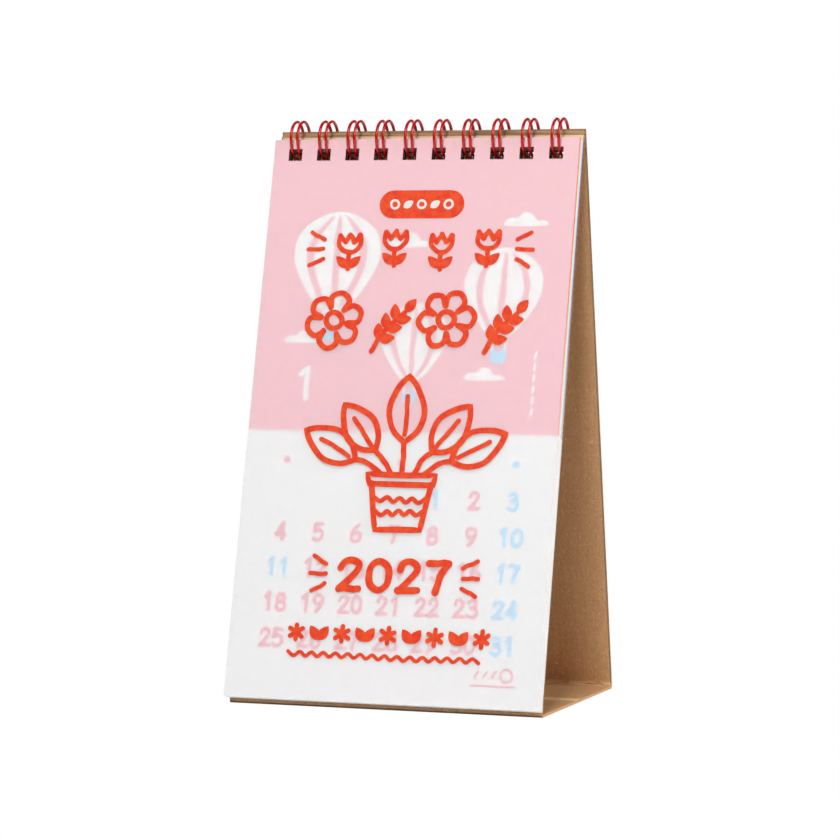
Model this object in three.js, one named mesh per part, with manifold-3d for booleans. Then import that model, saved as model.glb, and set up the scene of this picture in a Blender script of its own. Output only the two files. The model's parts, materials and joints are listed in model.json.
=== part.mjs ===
// Desk calendar: a folded board easel with a twin-loop wire along its top edge, from which a
// translucent cover sheet and twelve month sheets hang in front of the stand.
// Millimetres, +Z up, front towards -Y. The origin is on the table under the centre of the
// bounding box.

import * as THREE from "three";
import { mergeVertices } from "three/addons/utils/BufferGeometryUtils.js";
import Module from "manifold-3d";

const wasm = await Module();
wasm.setup();

// Stand: one strip of board, scored into a front, a base with a centre crease, and a back
const BOARD_WIDTH = 89;
const BOARD_THICKNESS = 0.8;
const FRONT_LENGTH = 161.3;
const BASE_DEPTH = 73.8;
const APEX_SETBACK = 0.37;
const BOARD_MARGIN = 4.15;
const FOLD_GAP = 0.04;
const APEX_CLEARANCE = 0.03;

// Punched holes, on the one-third-inch pitch of twin-loop wire
const HOLE_PITCH = 25.4 / 3;
const HOLE_COUNT = 10;
const HOLE_HEIGHT = 3.5;
const HOLE_SIDE_PLAY = 1.19;

// Twin-loop wire
const RING_INNER_DIAMETER = 9.5;
const WIRE_DIAMETER = 0.85;
const LEG_SPACING = 1.96;
const ROOT_BEND_RADIUS = 0.9;
const SPINE_ANGLE = THREE.MathUtils.degToRad(-20);
const CLOSURE_GAP = 0.3;
const WIRE_SIDES = 8;
const LEG_STEPS = 16;
const TIP_STEPS = 6;
const BEND_STEPS = 3;

// Where the wire lies in the holes of the two boards
const FRONT_WIRE_DROP = 0.42;
const BACK_WIRE_CLEARANCE = 0.3;
const RING_AXIS_PROUD = 0.2;

// Sheets
const SHEET_WIDTH = 89;
const SHEET_LENGTH = 157.9;
const SHEET_MARGIN = 2.65;
const MONTH_THICKNESS = 0.25;
const COVER_THICKNESS = 0.12;
const FIRST_SHEET_GAP = 0.03;
const SHEET_GAP = 0.02;
const COVER_GAP = 0.05;
const COVER_PLAY = 0.12;
const SHEET_DROP = 0.05;

// Sideways play that the wire has in the holes
const BOARD_SHIFT = 0.2;
const SHEET_SHIFT = -0.2;
const WIRE_SHIFT = -0.3;

const MONTHS = [
  { name: "january", colour: 0xf2b8c4 },
  { name: "february", colour: 0xe8788a },
  { name: "march", colour: 0xe89a7c },
  { name: "april", colour: 0xe2b48c },
  { name: "may", colour: 0xdcdca8 },
  { name: "june", colour: 0xcadfb0 },
  { name: "july", colour: 0xbfe0cf },
  { name: "august", colour: 0xc8dcea },
  { name: "september", colour: 0xb6b2d8 },
  { name: "october", colour: 0x9a6a9e },
  { name: "november", colour: 0x6a4668 },
  { name: "december", colour: 0x3e3550 },
];

// The front board's top edge leans back to just past the crease of the base
const frontAngle = Math.acos((BASE_DEPTH / 2 + APEX_SETBACK) / FRONT_LENGTH);

const wireRadius = WIRE_DIAMETER / 2;
const ringRadius = RING_INNER_DIAMETER / 2 + wireRadius;
const holeWidth = LEG_SPACING + WIRE_DIAMETER + HOLE_SIDE_PLAY;

// Distance from the ring axis down to the wire, measured in a plane that lies at this offset
function wireCrossing(offset) {
  return Math.sqrt(ringRadius ** 2 - offset ** 2);
}

// Half the height of the wire's slanting section in that plane
function wireHalfSection(offset) {
  return (wireRadius * ringRadius) / wireCrossing(offset);
}

const boardMitre = (angle) => BOARD_THICKNESS / Math.tan(angle / 2);

// Side view of the stand: y runs to the back, z up, from the middle of the base
const frontFold = new THREE.Vector2(-BASE_DEPTH / 2, 0);
const backFold = new THREE.Vector2(BASE_DEPTH / 2, 0);
const frontUp = new THREE.Vector2(Math.cos(frontAngle), Math.sin(frontAngle));
const frontOut = new THREE.Vector2(-Math.sin(frontAngle), Math.cos(frontAngle));

function alongFront(length, outwards) {
  return frontFold.clone().addScaledVector(frontUp, length).addScaledVector(frontOut, outwards);
}

// The ring axis lies just in front of the front board, above its row of holes
const frontHoleCentre = FRONT_LENGTH - BOARD_MARGIN - HOLE_HEIGHT / 2;
const frontBoardOffset = RING_AXIS_PROUD + BOARD_THICKNESS / 2;
const axisHeightOnFront = frontHoleCentre - FRONT_WIRE_DROP + wireCrossing(frontBoardOffset);
const ringAxis = alongFront(axisHeightOnFront, RING_AXIS_PROUD);

// The back board leans with its inner face on the top edge of the front board
const frontTopInner = alongFront(FRONT_LENGTH, -BOARD_THICKNESS);
const apexReach = backFold.distanceTo(frontTopInner);
const apexAngle = Math.atan2(frontTopInner.y, backFold.x - frontTopInner.x);
const backAngle = apexAngle + Math.asin((BOARD_THICKNESS + APEX_CLEARANCE) / apexReach);
const backUp = new THREE.Vector2(-Math.cos(backAngle), Math.sin(backAngle));
const backOut = new THREE.Vector2(Math.sin(backAngle), Math.cos(backAngle));

// Its holes take the wire near their lower edge
const foldToAxis = ringAxis.clone().sub(backFold);
const backOuterOffset = -foldToAxis.dot(backOut);
const backMiddleOffset = backOuterOffset - BOARD_THICKNESS / 2;
const backWireHeight = foldToAxis.dot(backUp) - wireCrossing(backMiddleOffset);
const backWireDrop = HOLE_HEIGHT / 2 - BACK_WIRE_CLEARANCE - wireHalfSection(backMiddleOffset);
const backHoleCentre = backWireHeight + backWireDrop;
const backLength = backHoleCentre + HOLE_HEIGHT / 2 + BOARD_MARGIN;

// Stack of sheets, counted from the front board outwards
const monthPitch = MONTH_THICKNESS + SHEET_GAP;
const coverBack = FIRST_SHEET_GAP + MONTHS.length * monthPitch - SHEET_GAP + COVER_GAP;
const coverOffset = coverBack + COVER_THICKNESS / 2 - RING_AXIS_PROUD;
const coverHoleTop = wireCrossing(coverOffset) - wireHalfSection(coverOffset) - COVER_PLAY;
const coverTop = axisHeightOnFront - coverHoleTop + SHEET_MARGIN;

const coverFoot = alongFront(coverTop - SHEET_LENGTH, coverBack + COVER_THICKNESS);
const standY = (-coverFoot.x - backFold.x) / 2;

// A closed mesh as a solid, for cutting
function toSolid(geometry) {
  const bare = geometry.clone();
  bare.deleteAttribute("normal");
  bare.deleteAttribute("uv");
  const merged = mergeVertices(bare, 1e-4);
  return new wasm.Manifold(
    new wasm.Mesh({
      numProp: 3,
      vertProperties: new Float32Array(merged.attributes.position.array),
      triVerts: new Uint32Array(merged.index.array),
    }),
  );
}

function toGeometry(solid) {
  const mesh = solid.getMesh();
  const geometry = new THREE.BufferGeometry();
  geometry.setAttribute("position", new THREE.BufferAttribute(mesh.vertProperties, 3));
  geometry.setIndex(new THREE.BufferAttribute(mesh.triVerts, 1));
  geometry.computeVertexNormals();
  return geometry;
}

// Centres of the punched holes across a sheet or board
function holeCentres() {
  const centres = [];
  for (let i = 0; i < HOLE_COUNT; i += 1) {
    centres.push((i - (HOLE_COUNT - 1) / 2) * HOLE_PITCH);
  }
  return centres;
}

// The row of near-square holes, cut through a solid whose faces are within a thickness of z = 0
function punchRow(solid, height, thickness) {
  return holeCentres().reduce((cut, x) => {
    const punch = new THREE.BoxGeometry(holeWidth, HOLE_HEIGHT, 3 * thickness);
    punch.translate(x, height, 0);
    return cut.subtract(toSolid(punch));
  }, solid);
}

// A board panel from its side profile of [length, height] corners, as wide as the strip
function boardPanel(profile) {
  const shape = new THREE.Shape(profile.map(([length, height]) => new THREE.Vector2(length, height)));
  const geometry = new THREE.ExtrudeGeometry(shape, { depth: BOARD_WIDTH, bevelEnabled: false });
  const turn = new THREE.Matrix4().set(0, 0, 1, -BOARD_WIDTH / 2, 1, 0, 0, 0, 0, 1, 0, 0, 0, 0, 0, 1);
  return geometry.applyMatrix4(turn);
}

// An upright board: outer face at z = 0, mitred at its fold, punched below its top edge
function uprightBoard(length, foldAngle, holeCentre) {
  const blank = boardPanel([
    [FOLD_GAP, 0],
    [FOLD_GAP + boardMitre(foldAngle), -BOARD_THICKNESS],
    [length, -BOARD_THICKNESS],
    [length, 0],
  ]);
  return toGeometry(punchRow(toSolid(blank), holeCentre, BOARD_THICKNESS));
}

// Half of the base, from a fold to the centre crease
function basePanel(foldAngle) {
  return boardPanel([
    [0, 0],
    [BASE_DEPTH / 2 - FOLD_GAP / 2, 0],
    [BASE_DEPTH / 2 - FOLD_GAP / 2, BOARD_THICKNESS],
    [boardMitre(foldAngle), BOARD_THICKNESS],
  ]);
}

// A sheet hanging from its top edge at y = 0, with its row of holes
function punchedSheet(thickness) {
  const blank = new THREE.BoxGeometry(SHEET_WIDTH, SHEET_LENGTH, thickness);
  blank.translate(0, -SHEET_LENGTH / 2, thickness / 2);
  return toGeometry(punchRow(toSolid(blank), -SHEET_MARGIN - HOLE_HEIGHT / 2, thickness));
}

// The wire's course, unrolled: x along the row, s round the ring from the back over the top.
// Its spine lies behind the back board, and each loop comes round through its holes to close there.
function wireCourse() {
  const halfSpacing = LEG_SPACING / 2;
  const spine = ringRadius * SPINE_ANGLE;
  const tip = spine - WIRE_DIAMETER - CLOSURE_GAP + 2 * Math.PI * ringRadius;
  const legStart = spine + ROOT_BEND_RADIUS;
  const legEnd = tip - halfSpacing;
  const course = [];

  // Part of a circle, its angles counted from the x direction
  const addArc = (x, s, radius, from, to, steps) => {
    for (let i = 1; i <= steps; i += 1) {
      const angle = from + ((to - from) * i) / steps;
      course.push([x + radius * Math.cos(angle), s + radius * Math.sin(angle)]);
    }
  };
  const addLeg = (x, from, to) => {
    for (let i = 1; i <= LEG_STEPS; i += 1) {
      course.push([x, from + ((to - from) * i) / LEG_STEPS]);
    }
  };

  holeCentres().forEach((x, index) => {
    const left = x - halfSpacing;
    const right = x + halfSpacing;
    if (index === 0) {
      course.push([left, spine], [left, legStart]);
    } else {
      course.push([left - ROOT_BEND_RADIUS, spine]);
      addArc(left - ROOT_BEND_RADIUS, legStart, ROOT_BEND_RADIUS, -Math.PI / 2, 0, BEND_STEPS);
    }
    addLeg(left, legStart, legEnd);
    addArc(x, legEnd, halfSpacing, Math.PI, 0, TIP_STEPS);
    addLeg(right, legEnd, legStart);
    if (index === HOLE_COUNT - 1) {
      course.push([right, spine]);
    } else {
      addArc(right + ROOT_BEND_RADIUS, legStart, ROOT_BEND_RADIUS, Math.PI, 1.5 * Math.PI, BEND_STEPS);
    }
  });
  return course;
}

// A round wire swept along the course on its cylinder, closed by flat ends
function sweptWire(course) {
  const positions = [];
  const indices = [];
  course.forEach(([x, s], index) => {
    const [lastX, lastS] = course[Math.max(index - 1, 0)];
    const [nextX, nextS] = course[Math.min(index + 1, course.length - 1)];
    const angle = s / ringRadius;
    const radial = new THREE.Vector3(0, Math.cos(angle), Math.sin(angle));
    const round = new THREE.Vector3(0, -Math.sin(angle), Math.cos(angle));
    const heading = round.multiplyScalar(nextS - lastS).setX(nextX - lastX).normalize();
    const side = heading.clone().cross(radial);
    const centre = radial.clone().multiplyScalar(ringRadius).setX(x);
    for (let i = 0; i < WIRE_SIDES; i += 1) {
      const turn = (2 * Math.PI * i) / WIRE_SIDES;
      const point = centre.clone();
      point.addScaledVector(radial, wireRadius * Math.cos(turn));
      point.addScaledVector(side, wireRadius * Math.sin(turn));
      positions.push(point.x, point.y, point.z);
    }
  });
  for (let ring = 0; ring < course.length - 1; ring += 1) {
    for (let i = 0; i < WIRE_SIDES; i += 1) {
      const a = ring * WIRE_SIDES + i;
      const b = ring * WIRE_SIDES + ((i + 1) % WIRE_SIDES);
      indices.push(a, b, a + WIRE_SIDES, b, b + WIRE_SIDES, a + WIRE_SIDES);
    }
  }
  const last = (course.length - 1) * WIRE_SIDES;
  for (let i = 1; i < WIRE_SIDES - 1; i += 1) {
    indices.push(0, i + 1, i);
    indices.push(last, last + i, last + i + 1);
  }
  const geometry = new THREE.BufferGeometry();
  geometry.setAttribute("position", new THREE.Float32BufferAttribute(positions, 3));
  geometry.setIndex(indices);
  geometry.computeVertexNormals();
  return geometry;
}

// Least clear distance between stretches of the wire that are not neighbours along it
function leastWireGap(course) {
  const points = course.map(([x, s]) => {
    const angle = s / ringRadius;
    return new THREE.Vector3(x, ringRadius * Math.cos(angle), ringRadius * Math.sin(angle));
  });
  const travelled = [0];
  for (let i = 1; i < points.length; i += 1) {
    travelled.push(travelled[i - 1] + points[i].distanceTo(points[i - 1]));
  }
  const neighbourhood = Math.PI * LEG_SPACING;
  let least = Infinity;
  for (let i = 0; i < points.length; i += 1) {
    for (let j = i + 1; j < points.length; j += 1) {
      if (travelled[j] - travelled[i] > neighbourhood) {
        least = Math.min(least, points[i].distanceTo(points[j]) - WIRE_DIAMETER);
      }
    }
  }
  return least;
}

function paint(color, roughness, metalness = 0) {
  return new THREE.MeshStandardMaterial({ color, roughness, metalness });
}

function named(name, geometry, material) {
  const mesh = new THREE.Mesh(geometry, material);
  mesh.name = name;
  return mesh;
}

// The stand, in its own group
function buildStand() {
  const kraft = () => paint(0xb4875a, 0.9);
  const stand = new THREE.Group();
  stand.position.set(BOARD_SHIFT, standY, 0);

  const frontSlope = new THREE.Group();
  frontSlope.position.set(0, frontFold.x, 0);
  frontSlope.rotation.x = frontAngle;
  const front = uprightBoard(FRONT_LENGTH, frontAngle, frontHoleCentre);
  frontSlope.add(named("front_board", front, kraft()));

  const baseFront = named("base_front_panel", basePanel(frontAngle), kraft());
  baseFront.position.set(0, frontFold.x, 0);

  // The back half is the front half turned round, with its own fold angle
  const rearHalf = new THREE.Group();
  rearHalf.rotation.z = Math.PI;
  const backSlope = new THREE.Group();
  backSlope.position.set(0, -backFold.x, 0);
  backSlope.rotation.x = backAngle;
  const back = uprightBoard(backLength, backAngle, backHoleCentre);
  backSlope.add(named("back_board", back, kraft()));
  const baseRear = named("base_rear_panel", basePanel(backAngle), kraft());
  baseRear.position.set(0, -backFold.x, 0);
  rearHalf.add(backSlope, baseRear);

  stand.add(frontSlope, baseFront, rearHalf);
  return stand;
}

// The wire, as one unbroken length
function buildWire() {
  const course = wireCourse();
  console.log(`least gap of the wire to itself: ${leastWireGap(course).toFixed(2)} mm`);
  const wire = named("binding_wire", sweptWire(course), paint(0xb01020, 0.35, 0.3));
  wire.position.set(WIRE_SHIFT, ringAxis.x + standY, ringAxis.y);
  return wire;
}

// The sheets, from the cover in front to December against the board
function buildSheets() {
  const slope = new THREE.Group();
  slope.position.set(SHEET_SHIFT, frontFold.x + standY, 0);
  slope.rotation.x = frontAngle;

  const cover = named("cover_sheet", punchedSheet(COVER_THICKNESS), paint(0xf4f1f0, 0.8));
  cover.position.set(0, coverTop, coverBack);
  slope.add(cover);

  MONTHS.forEach((month, index) => {
    const sheet = named(`${month.name}_sheet`, punchedSheet(MONTH_THICKNESS), paint(month.colour, 0.85));
    const behind = MONTHS.length - 1 - index;
    const top = coverTop - (index + 1) * SHEET_DROP;
    sheet.position.set(0, top, FIRST_SHEET_GAP + behind * monthPitch);
    slope.add(sheet);
  });
  return slope;
}

const calendar = new THREE.Group();
calendar.add(buildStand(), buildWire(), buildSheets());

export default calendar;
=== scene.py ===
"""Desk calendar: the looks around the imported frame.

A kraft board easel carries twelve month sheets and a translucent cover on a red twin-loop wire.
Sizes are in millimetres until a mesh is made, and the frame itself is in metres.
Page coordinates run u to the right of the sheet's centre and v up from its bottom edge.
"""

import calendar
import json
import math
import random

import bmesh
import bpy
import numpy as np
from mathutils import Matrix, Vector
from mathutils.geometry import tessellate_polygon


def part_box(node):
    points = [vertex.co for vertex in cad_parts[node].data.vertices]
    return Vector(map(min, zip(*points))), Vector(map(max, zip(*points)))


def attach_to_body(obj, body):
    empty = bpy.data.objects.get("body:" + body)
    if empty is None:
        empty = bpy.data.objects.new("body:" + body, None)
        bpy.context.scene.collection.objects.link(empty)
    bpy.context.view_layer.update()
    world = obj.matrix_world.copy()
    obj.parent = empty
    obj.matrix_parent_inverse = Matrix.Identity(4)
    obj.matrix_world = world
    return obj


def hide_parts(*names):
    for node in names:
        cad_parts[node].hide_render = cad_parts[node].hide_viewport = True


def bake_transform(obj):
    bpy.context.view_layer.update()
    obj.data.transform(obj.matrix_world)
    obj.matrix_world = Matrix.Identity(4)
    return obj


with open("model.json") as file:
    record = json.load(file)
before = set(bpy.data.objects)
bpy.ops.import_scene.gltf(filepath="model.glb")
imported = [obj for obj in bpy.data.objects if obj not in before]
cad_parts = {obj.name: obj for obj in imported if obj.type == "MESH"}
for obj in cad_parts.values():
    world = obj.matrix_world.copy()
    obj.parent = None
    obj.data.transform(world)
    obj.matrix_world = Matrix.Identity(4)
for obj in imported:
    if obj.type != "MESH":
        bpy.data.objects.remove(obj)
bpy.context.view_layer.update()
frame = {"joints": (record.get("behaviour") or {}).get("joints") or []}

MM = 0.001
YEAR = 2027
HOLIDAYS = ((1, 1), (1, 11))
DRAW_SEED = 11

# Sizes that the solids use too
FRONT_ANGLE = math.radians(76.64)
BASE_DEPTH = 73.8
BOARD_WIDTH = 89.0
BOARD_SHIFT = 0.2
BOARD_THICKNESS = 0.8
BOARD_MARGIN = 4.15
HOLE_PITCH = 25.4 / 3
HOLE_COUNT = 10
HOLE_WIDTH = 4.0
HOLE_HEIGHT = 3.5
SHEET_WIDTH = 89.0
SHEET_LENGTH = 157.9
SHEET_MARGIN = 2.65
LEG_SPACING = 1.96
WIRE_DIAMETER = 0.85
RING_RADIUS = 5.175
ROOT_BEND_RADIUS = 0.9
SPINE_ANGLE = math.radians(-20)
CLOSURE_GAP = 0.3
HOLE_FOOT = SHEET_LENGTH - SHEET_MARGIN - HOLE_HEIGHT

# The board's folds and its score, and where its plain stretches start
FOLD_RADIUS = 0.9
FOLD_GAP = 0.02
WORN_EDGE = 0.1
SCORE_DEPTH = 0.2
SCORE_REACH = 1.3
SCORE_HALF_WIDTH = 0.35
BOARD_START = 10.0
PANEL_START = 6.0

# How far the sheets belly out and fan out and the loops lean, and over what lengths
MONTH_BELLY = 0.25
COVER_BELLY = 0.75
BELLY_RUN = 60.0
BELLY_MIDDLE = 70.0
BELLY_WAVE = 120.0
SIDE_LOSS = 0.35
FAN_SHIFT = 0.42
FAN_JITTER = 0.03
FAN_START = 40.5
FAN_RUN = 3.0
LOOP_WANDER = 0.06

# How finely the meshes are cut, and which of their edges are sharp
SHEET_STEPS = 24
BOARD_CELLS = 12
FOLD_STEPS = 5
SCORE_STEPS = 12
LEG_STEPS = 40
ROOT_STEPS = 6
TIP_STEPS = 14
CAP_STEPS = 8
SHARP_ANGLE = math.radians(40)
WORN_ANGLE = math.radians(50)

# Camera, from a fit to the corners, holes and loops in the photograph
CAMERA_DISTANCE = 872.9
CAMERA_YAW = math.radians(18.14)
CAMERA_PITCH = math.radians(1.75)
CAMERA_ROLL = math.radians(0.52)
CAMERA_TARGET = Vector((-2.14, 1.5, 77.3))
CAMERA_LENS = 133.5
SENSOR_WIDTH = 36.0

# Where each printed thing lies on a page, in page coordinates
COLOUR_EDGE = 74.4
GRID_LEFT = -32.3
GRID_COLUMN = 10.95
GRID_TOP = 55.9
GRID_ROW = 9.8
GRID_DIGIT = 4.5
GRID_STROKE = 1.0
HEADER_HEIGHT = 66.1
HEADER_MARK = 1.9
MONTH_PLACE = (-28.9, 87.8)
YEAR_PLACE = (1.6, 34.6)
BADGE = (0.6, 138.9)
BADGE_SIZE = (24.6, 8.0)

# How the brush draws
FEATHER = 0.7
CRISP = 0.08
HAND_STEP = 1.3
BRUSH_WOBBLE = 0.12
STEADY = 0.04
DIGIT_WIDTH = 0.6
DIGIT_ADVANCE = 0.82
PETALS = 6
INK_LAYERS = 20
INK_STEP = 0.0006
INK_LIFT = 0.008
PRINT_RISE = INK_LAYERS * INK_STEP

# Studio
LIGHT_LEVEL = 0.06
FLOOR_GLOW = 1.0
FLOOR_BOUNCE = 0.06
FLOOR_HALF = 6000.0

joints = {joint["name"]: joint for joint in frame["joints"]}


def joint_point(name):
    """The joint's place in the side plane, in millimetres."""
    place = joints[name]["pos_m"]
    return Vector((place[1], place[2])) / MM


ring_axis = joint_point("back_fold")
front_fold = joint_point("front_base_fold")
crease = joint_point("base_crease")
rear_fold = front_fold + Vector((BASE_DEPTH, 0))


def srgb(red, green, blue):
    """A colour as it is seen on screen, as the linear values that shaders take."""
    def linear(value):
        value /= 255
        return value / 12.92 if value <= 0.04045 else ((value + 0.055) / 1.055) ** 2.4
    return (linear(red), linear(green), linear(blue), 1.0)


ORANGE = srgb(246, 86, 40)
DEEP_ORANGE = srgb(238, 62, 32)
KRAFT = srgb(212, 164, 116)
# Pale fibre, and also the painted highlight of the board's top band
PALE_FIBRE_AND_HIGHLIGHT = srgb(244, 216, 182)
# Rubbed fibre, and also the painted highlights on fold wrinkles and along the crease
RUBBED_FIBRE_AND_SHINE = srgb(250, 216, 172)
WHITE_PAPER = srgb(240, 239, 239)
# The sheets' cut sides, painted brighter than their faces as painted light
LIT_CUT_PAPER = srgb(255, 254, 254)
COVER_PAPER = srgb(245, 245, 245)
# Painted shade on the walls of the holes, dark red as a painted reflection of the wire
HOLE_SHADE = srgb(84, 24, 26)
WHITE_INK = srgb(244, 240, 240)
BLUE_INK = srgb(150, 216, 250)
MONTH_COLOURS = (
    srgb(242, 162, 177), srgb(240, 104, 122), srgb(242, 142, 116), srgb(250, 216, 152),
    srgb(246, 240, 190), srgb(232, 242, 208), srgb(214, 238, 218), srgb(216, 236, 232),
    srgb(200, 186, 214), srgb(150, 88, 150), srgb(112, 52, 110), srgb(90, 44, 86),
)
DIGIT_COLOUR = srgb(240, 142, 164)


class Slope:
    """A board's plane: u across, s up the slope from its fold, h out of its outer face."""

    def __init__(self, fold, angle, backwards=False):
        turn = -1 if backwards else 1
        self.fold = fold
        self.up = Vector((turn * math.cos(angle), math.sin(angle)))
        self.out = Vector((-turn * math.sin(angle), math.cos(angle)))
        self.turn = turn

    def point(self, u, s, h):
        side = self.fold + self.up * s + self.out * h
        return Vector((self.turn * u, side.x, side.y))


front_slope = Slope(front_fold, FRONT_ANGLE)
board_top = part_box("front_board")[1].z / MM / front_slope.up.y


def slab_limits(node):
    """A sheet's middle, its lowest s, and its lowest and highest h on the front slope, from its box."""
    low, high = (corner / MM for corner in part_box(node))
    cos, sin = front_slope.up
    system = [
        [sin, cos, 0, 0],
        [0, 0, sin, cos],
        [cos, 0, 0, -sin],
        [0, -sin, cos, 0],
    ]
    known = [low.z, high.z, low.y - front_fold.x, high.y - front_fold.x]
    s_low, h_low, _, h_high = np.linalg.solve(system, known)
    return (low.x + high.x) / 2, s_low, h_low, h_high


def sheet_thickness(node):
    *_, h_low, h_high = slab_limits(node)
    return h_high - h_low


def direction(angle):
    return Vector((math.cos(angle), math.sin(angle)))


def hole_centres():
    return [(i - (HOLE_COUNT - 1) / 2) * HOLE_PITCH for i in range(HOLE_COUNT)]


# Meshes

def put(name, data):
    """A new object in the scene."""
    piece = bpy.data.objects.new(name, data)
    bpy.context.scene.collection.objects.link(piece)
    return piece


def new_object(name, verts, faces, material):
    """A mesh piece from points in millimetres."""
    mesh = bpy.data.meshes.new(name)
    mesh.from_pydata([Vector(v) * MM for v in verts], [], faces)
    mesh.update()
    mesh.materials.append(material)
    return put(name, mesh)


def shade_smooth(mesh):
    mesh.polygons.foreach_set("use_smooth", [True] * len(mesh.polygons))


def smooth(share):
    """0 below 0 and 1 above 1, smooth between."""
    share = min(max(share, 0.0), 1.0)
    return share * share * (3 - 2 * share)


def steps(low, high, count):
    return [low + (high - low) * i / count for i in range(count + 1)]


def hole_columns():
    """The edges of a row of holes across a sheet or board, with its two sides."""
    edges = [-SHEET_WIDTH / 2]
    for x in hole_centres():
        edges += [x - HOLE_WIDTH / 2, x + HOLE_WIDTH / 2]
    return edges + [SHEET_WIDTH / 2]


def slab(name, columns, rows, place, material, hole_row=None, joined=(), worn=0.0):
    """A sheet or board as one closed mesh. A row is two (v, h) points, in front and behind.

    Every second cell of hole_row is a hole. Edges are worn round, but not at the joined rows.
    """
    last_column, last_row = len(columns) - 2, len(rows) - 2

    def solid(i, j):
        return 0 <= i <= last_column and 0 <= j <= last_row and not (j == hole_row and i % 2)

    verts, index, faces = [], {}, []

    def vertex(i, j, side):
        if (i, j, side) not in index:
            index[i, j, side] = len(verts)
            verts.append(place(columns[i], *rows[j][side]))
        return index[i, j, side]

    for i in range(last_column + 1):
        for j in range(last_row + 1):
            if not solid(i, j):
                continue
            corners = [(i, j), (i + 1, j), (i + 1, j + 1), (i, j + 1)]
            faces.append([vertex(*c, 0) for c in corners])
            faces.append([vertex(*c, 1) for c in reversed(corners)])
            for k, beside in enumerate([(i, j - 1), (i + 1, j), (i, j + 1), (i - 1, j)]):
                if not solid(*beside):
                    a, b = corners[k], corners[(k + 1) % 4]
                    faces.append([vertex(*b, 0), vertex(*a, 0), vertex(*a, 1), vertex(*b, 1)])
    kept = {index[i, j, side] for i, j, side in index if j in joined}
    piece = new_object(name, verts, faces, material)
    if worn:
        wear_edges(piece.data, worn, kept)
    shade_smooth(piece.data)
    piece.data.set_sharp_from_angle(angle=SHARP_ANGLE)
    return piece


def wear_edges(mesh, radius, kept):
    """Rounds the sharp edges of a board, apart from those whose two ends are kept sharp."""
    shape = bmesh.new()
    shape.from_mesh(mesh)
    worn = []
    for edge in shape.edges:
        sharp = len(edge.link_faces) == 2 and edge.calc_face_angle() > WORN_ANGLE
        if sharp and not all(vert.index in kept for vert in edge.verts):
            worn.append(edge)
    bmesh.ops.bevel(shape, geom=worn, offset=radius * MM, segments=2, profile=0.5, affect="EDGES",
                    clamp_overlap=True)
    shape.to_mesh(mesh)
    shape.free()


# Materials

class Nodes:
    """A short way to write a material's node tree."""

    def __init__(self, name):
        self.material = bpy.data.materials.new(name)
        self.material.use_nodes = True
        self.tree = self.material.node_tree
        self.tree.nodes.clear()

    def add(self, kind, output, sockets=None, **settings):
        """A new node's output. A socket takes a link or a plain value, and None leaves it alone."""
        node = self.tree.nodes.new(kind)
        for key, value in settings.items():
            setattr(node, key, value)
        for key, value in (sockets or {}).items():
            if isinstance(value, bpy.types.NodeSocket):
                self.tree.links.new(value, node.inputs[key])
            elif value is not None:
                node.inputs[key].default_value = value
        return node.outputs[output]

    def math(self, operation, a, b=0.0):
        return self.add("ShaderNodeMath", 0, {0: a, 1: b}, operation=operation)

    def times(self, a, b):
        return self.math("MULTIPLY", a, b)

    def plus(self, a, b):
        return self.math("ADD", a, b)

    def minus(self, a, b):
        return self.math("SUBTRACT", a, b)

    def above(self, value, limit):
        return self.math("GREATER_THAN", value, limit)

    def below(self, value, limit):
        return self.math("LESS_THAN", value, limit)

    def size(self, value):
        return self.math("ABSOLUTE", value)

    def ramp(self, value, low, high):
        """0 at low, 1 at high, smooth between."""
        return self.add("ShaderNodeMapRange", "Result", {"Value": value, "From Min": low, "From Max": high},
                        interpolation_type="SMOOTHSTEP")

    def mix(self, factor, a, b):
        return self.add("ShaderNodeMix", "Result", {"Factor": factor, "A": a, "B": b}, data_type="RGBA")

    def vector_math(self, operation, a, b, output="Vector"):
        return self.add("ShaderNodeVectorMath", output, {0: a, 1: b}, operation=operation)

    def stretched(self, vector, factors):
        return self.vector_math("MULTIPLY", vector, factors)

    def position(self):
        """The point on the piece, in millimetres."""
        return self.stretched(self.add("ShaderNodeTexCoord", "Object"), (1 / MM, 1 / MM, 1 / MM))

    def normal(self):
        return self.add("ShaderNodeTexCoord", "Normal")

    def ray(self, kind):
        return self.add("ShaderNodeLightPath", kind)

    def part(self, vector, axis):
        """One coordinate of a vector."""
        return self.add("ShaderNodeSeparateXYZ", axis, {0: vector})

    def noise(self, vector, scale, detail=3.0, roughness=0.55):
        return self.add("ShaderNodeTexNoise", "Fac",
                        {"Vector": vector, "Scale": scale, "Detail": detail, "Roughness": roughness})

    def bump(self, height, strength, distance, normal=None):
        return self.add("ShaderNodeBump", "Normal", {"Height": height, "Strength": strength,
                                                     "Distance": distance * MM, "Normal": normal})

    def principled(self, colour, roughness, normal=None, **extra):
        sockets = {"Base Color": colour, "Roughness": roughness, "Normal": normal}
        for name, value in extra.items():
            sockets[name.replace("_", " ").title().replace("Ior", "IOR")] = value
        return self.add("ShaderNodeBsdfPrincipled", 0, sockets)

    def surface(self, shader):
        output = self.tree.nodes.new("ShaderNodeOutputMaterial")
        self.tree.links.new(shader, output.inputs["Surface"])
        return self.material

    def veil(self, share, shader, clear=(1, 1, 1, 1)):
        """The surface where a shader covers a see-through one by a share."""
        through = self.add("ShaderNodeBsdfTransparent", 0, {"Color": clear})
        return self.surface(self.add("ShaderNodeMixShader", 0, {0: share, 1: through, 2: shader}))


def scaled_colour(colour, factor):
    return tuple(channel * factor for channel in colour[:3]) + (1.0,)


# Kraft board

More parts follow.
